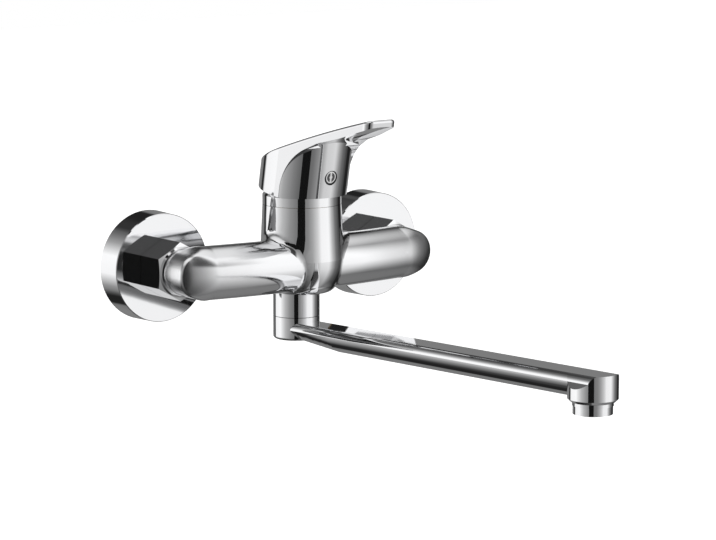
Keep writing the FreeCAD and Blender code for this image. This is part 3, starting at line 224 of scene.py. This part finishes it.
# ---- chrome plated pieces -------------------------------------------------------
# Brass castings and turnings: flanges, union nuts, cap ring, lever, spout and aerator
# ring. Each is ground, buffed and plated with nickel and chrome to a mirror, which
# keeps a very slight waviness and a faint haze from the buffing wheel.


def finish(name, colour, metallic, roughness):
    """A material with its node tree and its shader."""
    material = bpy.data.materials.new(name)
    material.use_nodes = True
    shader = material.node_tree.nodes["Principled BSDF"]
    shader.inputs["Base Color"].default_value = (*colour, 1.0)
    shader.inputs["Metallic"].default_value = metallic
    shader.inputs["Roughness"].default_value = roughness
    return material, material.node_tree, shader


def place_on_piece(tree, scale=(1.0, 1.0, 1.0)):
    """The place on the piece in metres, stretched for grain that runs one way."""
    coordinates = tree.nodes.new("ShaderNodeTexCoord")
    stretch = tree.nodes.new("ShaderNodeMapping")
    stretch.inputs["Scale"].default_value = scale
    tree.links.new(coordinates.outputs["Object"], stretch.inputs["Vector"])
    return stretch.outputs["Vector"]


def mottle(tree, place, per_metre, detail=2.0):
    """Soft random grain with so many patches to the metre."""
    noise = tree.nodes.new("ShaderNodeTexNoise")
    noise.inputs["Scale"].default_value = per_metre
    noise.inputs["Detail"].default_value = detail
    tree.links.new(place, noise.inputs["Vector"])
    return noise.outputs["Fac"]


def spread(tree, value, low, high):
    """Maps a 0 to 1 value onto a range."""
    mapped = tree.nodes.new("ShaderNodeMapRange")
    mapped.inputs["To Min"].default_value = low
    mapped.inputs["To Max"].default_value = high
    tree.links.new(value, mapped.inputs["Value"])
    return mapped.outputs["Result"]


def tint(tree, value, dark, light):
    """A colour between two, chosen by a 0 to 1 value."""
    ramp = tree.nodes.new("ShaderNodeValToRGB")
    ramp.color_ramp.elements[0].color = (*dark, 1.0)
    ramp.color_ramp.elements[1].color = (*light, 1.0)
    tree.links.new(value, ramp.inputs[0])
    return ramp.outputs[0]


def relief(tree, shader, value, depth):
    """Raises the surface by a height value, in metres."""
    bump = tree.nodes.new("ShaderNodeBump")
    bump.inputs["Strength"].default_value = 1.0
    bump.inputs["Distance"].default_value = depth
    tree.links.new(value, bump.inputs["Height"])
    tree.links.new(bump.outputs["Normal"], shader.inputs["Normal"])


def clad(material, *nodes):
    """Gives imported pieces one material."""
    for name in nodes:
        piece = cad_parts[name]
        piece.data.materials.clear()
        piece.data.materials.append(material)


def plated(name):
    """Bright chrome with its buffing marks, which set the roughness afterwards."""
    material, tree, shader = finish(name, (0.86, 0.865, 0.875), 1.0, 0.04)
    buffing = mottle(tree, place_on_piece(tree), 24.0, 3.0)
    tree.links.new(tint(tree, buffing, (0.83, 0.835, 0.85), (0.88, 0.88, 0.885)),
                   shader.inputs["Base Color"])
    relief(tree, shader, mottle(tree, place_on_piece(tree), 60.0), 0.000012)
    return material, tree, shader, buffing


chrome, plate, plate_shader, plate_buffing = plated("mirror_chrome")
plate.links.new(spread(plate, plate_buffing, 0.025, 0.055), plate_shader.inputs["Roughness"])
clad(chrome, "wall_flange_left", "wall_flange_right", "union_nut_left", "union_nut_right",
     "cap_ring", "lever_handle", "spout", "aerator_housing")

# ---- body casting ----------------------------------------------------------------
# One brass casting: a tower on two bowed arms that turn back at mitred elbows into
# the necks. The tower is buffed to a mirror, and the arms on a soft wheel, which
# leaves them hazier. Each elbow is a skin that closes over the arm's and neck's ends.

casting_chrome, skin, skin_shader, skin_buffing = plated("casting_chrome")
place_across = figure(skin, "ABSOLUTE", along(skin, place_on_piece(skin), (1.0, 0.0, 0.0)))
mirror_until = 0.030
hazy_from = 0.048
casting_half = 0.12
arm_share = greys(skin, place_across, 0.0, casting_half,
                  [(0.0, 0), (mirror_until, 0), (hazy_from, 1), (casting_half, 1)])
mirror = spread(skin, skin_buffing, 0.025, 0.055)
hazy = spread(skin, skin_buffing, 0.17, 0.23)
skin.links.new(blended(skin, arm_share, mirror, hazy), skin_shader.inputs["Roughness"])
clad(casting_chrome, "body_casting")

neck_place = 0.075
neck_radius = 0.01273
neck_end = -0.0375
arm_end_place = 0.065
arm_end_depth = -0.04658
arm_sweep = math.radians(8.65)
arm_radius = 0.01521
arm_heel = 0.005
heel_sink = 0.00008
heel_sink_power = 2
end_round_place = 0.0675
end_round_radius = 0.0153
end_taper = 0.0050
end_taper_length = 0.02133
end_taper_power = 1.95
end_squash = 12.0
corner_round = 0.0012
outline_blend = 0.0015
elbow_rings = 96
elbow_steps = 144
furthest_skin = 0.03
halvings = 26


def merged(first, second, width):
    """The lower of two depths, with a soft change between them."""
    share = max(width - abs(first - second), 0.0) / width
    return min(first, second) - share * share * width / 4


def elbow_depth(place):
    """How far a point lies outside the left elbow, below zero when inside."""
    out = Vector((place.x + arm_end_place, place.y - arm_end_depth))
    reach = -out.x * math.cos(arm_sweep) + out.y * math.sin(arm_sweep)
    aside = out.x * math.sin(arm_sweep) + out.y * math.cos(arm_sweep)
    flattened = place.z * (1.0 - end_squash * max(reach, 0.0))
    taper = end_taper * (max(reach, 0.0) / end_taper_length) ** end_taper_power
    sink = heel_sink * (min(reach, 0.0) / arm_heel) ** heel_sink_power
    on_arm = math.hypot(aside, flattened) - arm_radius + taper + sink
    on_neck = math.hypot(place.x + neck_place, place.z) - neck_radius
    on_round = math.hypot(min(place.x + end_round_place, 0.0), place.z) - end_round_radius
    outline = merged(on_neck, on_round, outline_blend)
    mitred = -merged(-outline, -on_arm, corner_round)
    return max(mitred, place.y - neck_end, -arm_heel - reach)


def elbow_reach(centre, direction):
    """How far the elbow's skin lies from its middle in one direction."""
    near, far = 0.0, furthest_skin
    for _ in range(halvings):
        middle = (near + far) / 2
        if elbow_depth(centre + direction * middle) < 0.0:
            near = middle
        else:
            far = middle
    return near


def elbow(side, sign):
    """The mitred corner where an arm turns back into its neck."""
    centre = Vector((-neck_place, arm_end_depth, 0.0))
    shell = bmesh.new()
    rings = []
    for ring in range(1, elbow_rings):
        tilt = math.pi * ring / elbow_rings
        row = []
        for step in range(elbow_steps):
            turn = 2.0 * math.pi * step / elbow_steps
            around = math.sin(tilt)
            direction = Vector((-math.cos(tilt), around * math.cos(turn), around * math.sin(turn)))
            point = centre + direction * elbow_reach(centre, direction)
            row.append(shell.verts.new((-sign * point.x, point.y, point.z)))
        rings.append(row)
    for near, far in zip(rings, rings[1:]):
        for step in range(elbow_steps):
            after = (step + 1) % elbow_steps
            shell.faces.new((near[step], near[after], far[after], far[step]))
    for row, way in ((rings[0], -1.0), (rings[-1], 1.0)):
        outward = Vector((way, 0.0, 0.0))
        tip = centre + outward * elbow_reach(centre, outward)
        cap = shell.verts.new((-sign * tip.x, tip.y, tip.z))
        for step in range(elbow_steps):
            shell.faces.new((row[step], row[(step + 1) % elbow_steps], cap))
    bmesh.ops.recalc_face_normals(shell, faces=shell.faces[:])
    mesh = bpy.data.meshes.new("elbow_" + side)
    shell.to_mesh(mesh)
    shell.free()
    mesh.shade_smooth()
    corner = bpy.data.objects.new("elbow_" + side, mesh)
    bpy.context.scene.collection.objects.link(corner)
    return corner


for side, sign in (("left", -1.0), ("right", 1.0)):
    corner = elbow(side, sign)
    corner.data.materials.append(casting_chrome)
    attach(corner, "faucet_body")

# ---- wall unions ------------------------------------------------------------------
# Two eccentric brass unions, turned from bar. The thread at the back screws into the
# supply in the wall, the wider one carries the flange and the nut. The threads are
# cut, and the rest keeps the fine rings of the lathe.

supply_drop = 0.012
wall_thread = {"crest": 0.01048, "root": 0.00932, "pitch": 0.001814,
               "back": 0.021, "front": 0.001, "height": -supply_drop}
nut_thread = {"crest": 0.0132, "root": 0.01204, "pitch": 0.001814,
              "back": 0.001, "front": -0.027, "height": 0.0}
round_steps = 96
pitch_steps = 8
edge_slack = 0.0001
radius_slack = 0.00012
end_face_lean = 0.3
sharp_edge = math.radians(40)


def on_barrel(point, x, thread):
    """Whether a point lies on the plain barrel that stands for a thread."""
    reach = math.hypot(point.x - x, point.z - thread["height"])
    within = thread["front"] - edge_slack <= point.y <= thread["back"] + edge_slack
    return within and abs(reach - thread["crest"]) < radius_slack


def thread_radius(turns, thread):
    """Radius of a 55 degree thread with rounded crests, this many turns along."""
    wave = abs((turns % 1.0) * 2.0 - 1.0)
    eased = wave * wave * (3.0 - 2.0 * wave)
    return thread["root"] + (thread["crest"] - thread["root"]) * eased


def cut_thread(shell, x, thread):
    """Winds a helical thread round one barrel."""
    length = thread["back"] - thread["front"]
    rows = round(length / thread["pitch"] * pitch_steps)
    rings = []
    for row in range(rows + 1):
        y = thread["front"] + length * row / rows
        ring = []
        for step in range(round_steps):
            angle = 2.0 * math.pi * step / round_steps
            radius = thread_radius(y / thread["pitch"] + step / round_steps, thread)
            ring.append(shell.verts.new((x + radius * math.sin(angle), y,
                                         thread["height"] + radius * math.cos(angle))))
        rings.append(ring)
    for near, far in zip(rings, rings[1:]):
        for step in range(round_steps):
            after = (step + 1) % round_steps
            shell.faces.new((near[step], near[after], far[after], far[step]))


def threaded_union(side, x):
    """The turned union with both its threads cut."""
    shell = bmesh.new()
    shell.from_mesh(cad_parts["s_union_" + side].data)
    for thread in (wall_thread, nut_thread):
        plain = [face for face in shell.faces
                 if all(on_barrel(corner.co, x, thread) for corner in face.verts)
                 and abs(face.normal.y) < end_face_lean]
        bmesh.ops.delete(shell, geom=plain, context="FACES")
        cut_thread(shell, x, thread)
    mesh = bpy.data.meshes.new("threaded_union_" + side)
    shell.to_mesh(mesh)
    shell.free()
    mesh.shade_smooth()
    mesh.set_sharp_from_angle(angle=sharp_edge)
    union = bpy.data.objects.new("threaded_union_" + side, mesh)
    bpy.context.scene.collection.objects.link(union)
    return union


def lathe_rings(tree, axis, per_metre):
    """Fine rings round an axis, as a turning tool leaves them."""
    wave = tree.nodes.new("ShaderNodeTexWave")
    wave.wave_type = "BANDS"
    wave.bands_direction = axis
    wave.inputs["Scale"].default_value = per_metre
    wave.inputs["Distortion"].default_value = 1.5
    wave.inputs["Detail"].default_value = 2.0
    tree.links.new(place_on_piece(tree), wave.inputs["Vector"])
    return wave.outputs["Fac"]


def turned_brass(name, axis):
    """Bright turned brass, a little tarnished, with rings round one axis."""
    material, tree, shader = finish(name, (0.72, 0.55, 0.28), 1.0, 0.25)
    tarnish = mottle(tree, place_on_piece(tree), 180.0, 4.0)
    tree.links.new(tint(tree, tarnish, (0.55, 0.38, 0.17), (0.80, 0.62, 0.33)),
                   shader.inputs["Base Color"])
    tree.links.new(spread(tree, tarnish, 0.20, 0.38), shader.inputs["Roughness"])
    relief(tree, shader, lathe_rings(tree, axis, 900.0), 0.00001)
    return material


union_brass = turned_brass("turned_brass_level", "Y")
for side, x in (("left", -neck_place), ("right", neck_place)):
    union = threaded_union(side, x)
    union.data.materials.clear()
    union.data.materials.append(union_brass)
    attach(union, "faucet_body")
    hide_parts("s_union_" + side)

# ---- inlet washers, strainers and nipples -----------------------------------------
# Behind each nut a rubber washer and a stainless strainer seal the union against a
# turned brass nipple, which is screwed into the casting's neck.


def black_rubber(name, grain_per_metre):
    """Matt moulded rubber with a dusty grain."""
    material, tree, shader = finish(name, (0.02, 0.02, 0.02), 0.0, 0.7)
    dust = mottle(tree, place_on_piece(tree), grain_per_metre, 5.0)
    tree.links.new(tint(tree, dust, (0.012, 0.012, 0.012), (0.045, 0.045, 0.045)),
                   shader.inputs["Base Color"])
    tree.links.new(spread(tree, dust, 0.55, 0.85), shader.inputs["Roughness"])
    relief(tree, shader, dust, 0.00002)
    return material


def satin_steel(name, stretch):
    """Stainless steel with a grain that runs one way."""
    material, tree, shader = finish(name, (0.62, 0.62, 0.63), 1.0, 0.3)
    grain = mottle(tree, place_on_piece(tree, stretch), 900.0, 4.0)
    tree.links.new(tint(tree, grain, (0.50, 0.50, 0.51), (0.70, 0.70, 0.70)),
                   shader.inputs["Base Color"])
    tree.links.new(spread(tree, grain, 0.22, 0.40), shader.inputs["Roughness"])
    relief(tree, shader, grain, 0.000006)
    return material


clad(black_rubber("washer_rubber", 1500.0), "union_washer_left", "union_washer_right")
clad(satin_steel("strainer_steel", (1.0, 1.0, 0.15)), "inlet_strainer_left", "inlet_strainer_right")
clad(union_brass, "inlet_nipple_left", "inlet_nipple_right")

# ---- ceramic cartridge --------------------------------------------------------------
# Moulded housing and base that hold a fixed and a sliding disc of lapped alumina.
# A moulded carrier and guide steer the moving disc, rubber rings seal its ports and a
# brass nut clamps it all into the tower.


mould_unevenness = 0.08


def moulded(name, dark, light, roughness):
    """Satin moulded plastic with the fine texture of its mould."""
    material, tree, shader = finish(name, light, 0.0, roughness)
    texture = mottle(tree, place_on_piece(tree), 2200.0, 3.0)
    clouds = mottle(tree, place_on_piece(tree), 90.0, 2.0)
    tree.links.new(tint(tree, clouds, dark, light), shader.inputs["Base Color"])
    uneven = spread(tree, texture, roughness - mould_unevenness, roughness + mould_unevenness)
    tree.links.new(uneven, shader.inputs["Roughness"])
    relief(tree, shader, texture, 0.000012)
    return material


def lapped_ceramic():
    """White alumina lapped flat, with faint darker grains."""
    material, tree, shader = finish("lapped_ceramic", (0.88, 0.87, 0.84), 0.0, 0.12)
    grains = mottle(tree, place_on_piece(tree), 3500.0, 2.0)
    tree.links.new(tint(tree, grains, (0.80, 0.79, 0.76), (0.92, 0.91, 0.89)),
                   shader.inputs["Base Color"])
    tree.links.new(spread(tree, grains, 0.08, 0.20), shader.inputs["Roughness"])
    return material


tower_brass = turned_brass("turned_brass_upright", "Z")
white_moulding = moulded("white_moulding", (0.80, 0.80, 0.77), (0.90, 0.90, 0.88), 0.42)
grey_moulding = moulded("grey_moulding", (0.30, 0.31, 0.33), (0.42, 0.43, 0.45), 0.45)
clad(tower_brass, "cartridge_clamp_nut")
clad(grey_moulding, "cartridge_base", "cartridge_housing")
clad(black_rubber("port_rubber", 2000.0), "cartridge_port_seals")
clad(lapped_ceramic(), "fixed_ceramic_disc", "moving_ceramic_disc")
clad(white_moulding, "disc_carrier", "spindle_guide")

# ---- lever spindle, pin and grub screw ----------------------------------------------
# The square steel spindle rocks on a ground pin across the guide, and its ball end
# moves the disc. A hexagon-socket grub screw behind the button grips it in the lever.

clad(satin_steel("drawn_steel", (1.0, 1.0, 0.1)), "lever_spindle")
clad(satin_steel("ground_steel", (0.1, 1.0, 1.0)), "spindle_pivot_pin")
clad(satin_steel("screw_steel", (1.0, 0.3, 1.0)), "handle_grub_screw")

# ---- index button ---------------------------------------------------------------------
# A domed clear button over bright foil, pressed into the bore over the grub screw. A
# dark edge and two dark arcs printed beneath it mark the warm and the cold side.


def index_marks():
    """Bright foil with a dark rim and an arc at each side, under a clear coat."""
    low, high = (Vector(corner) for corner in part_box("index_button"))
    centre = (low + high) / 2
    reach = (high.x - low.x) / 2
    material, tree, shader = finish("index_foil", (0.8, 0.8, 0.8), 1.0, 0.12)
    place = tree.nodes.new("ShaderNodeVectorMath")
    place.operation = "SUBTRACT"
    tree.links.new(place_on_piece(tree), place.inputs[0])
    place.inputs[1].default_value = centre
    sideways_part = figure(tree, "DIVIDE", along(tree, place.outputs[0], (1.0, 0.0, 0.0)), reach)
    upward_part = figure(tree, "DIVIDE", along(tree, place.outputs[0], (0.0, 0.0, 1.0)), reach)
    squares = [figure(tree, "POWER", part, 2.0) for part in (sideways_part, upward_part)]
    from_middle = figure(tree, "SQRT", figure(tree, "ADD", *squares))
    past_edge = 1.2
    rim = greys(tree, from_middle, 0.0, past_edge, [(0.0, 0), (0.76, 0), (0.80, 1), (past_edge, 1)])
    band = greys(tree, from_middle, 0.0, past_edge,
                 [(0.0, 0), (0.22, 0), (0.25, 1), (0.62, 1), (0.65, 0), (past_edge, 0)])
    beside = greys(tree, figure(tree, "ABSOLUTE", sideways_part), 0.0, 1.0,
                   [(0.0, 0), (0.12, 0), (0.15, 1), (1.0, 1)])
    marks = figure(tree, "MAXIMUM", rim, figure(tree, "MULTIPLY", band, beside))
    tree.links.new(tint(tree, marks, (0.80, 0.80, 0.80), (0.03, 0.03, 0.035)),
                   shader.inputs["Base Color"])
    tree.links.new(spread(tree, marks, 1.0, 0.1), shader.inputs["Metallic"])
    shader.inputs["Coat Weight"].default_value = 1.0
    shader.inputs["Coat Roughness"].default_value = 0.02
    return material


clad(index_marks(), "index_button")

# ---- spout stem, its rings and screw --------------------------------------------------
# A turned brass stem turns in the collar under the body on two plastic slide rings.
# Two rubber rings seal it, and a headless screw in the collar's back holds it.

clad(tower_brass, "spout_stem")
clad(black_rubber("stem_rubber", 2500.0), "stem_o_rings")
clad(white_moulding, "stem_slide_rings")
clad(satin_steel("headless_steel", (1.0, 0.3, 1.0)), "spout_retaining_screw")

# ---- aerator -----------------------------------------------------------------------------
# Inside the plated ring lie a rubber gasket, a stainless screen, and two moulded parts
# that break the water up and then straighten it through a honeycomb.

clad(black_rubber("gasket_rubber", 2500.0), "aerator_gasket")
clad(satin_steel("screen_steel", (1.0, 1.0, 1.0)), "aerator_screen")
clad(white_moulding, "jet_regulator", "stream_straightener")
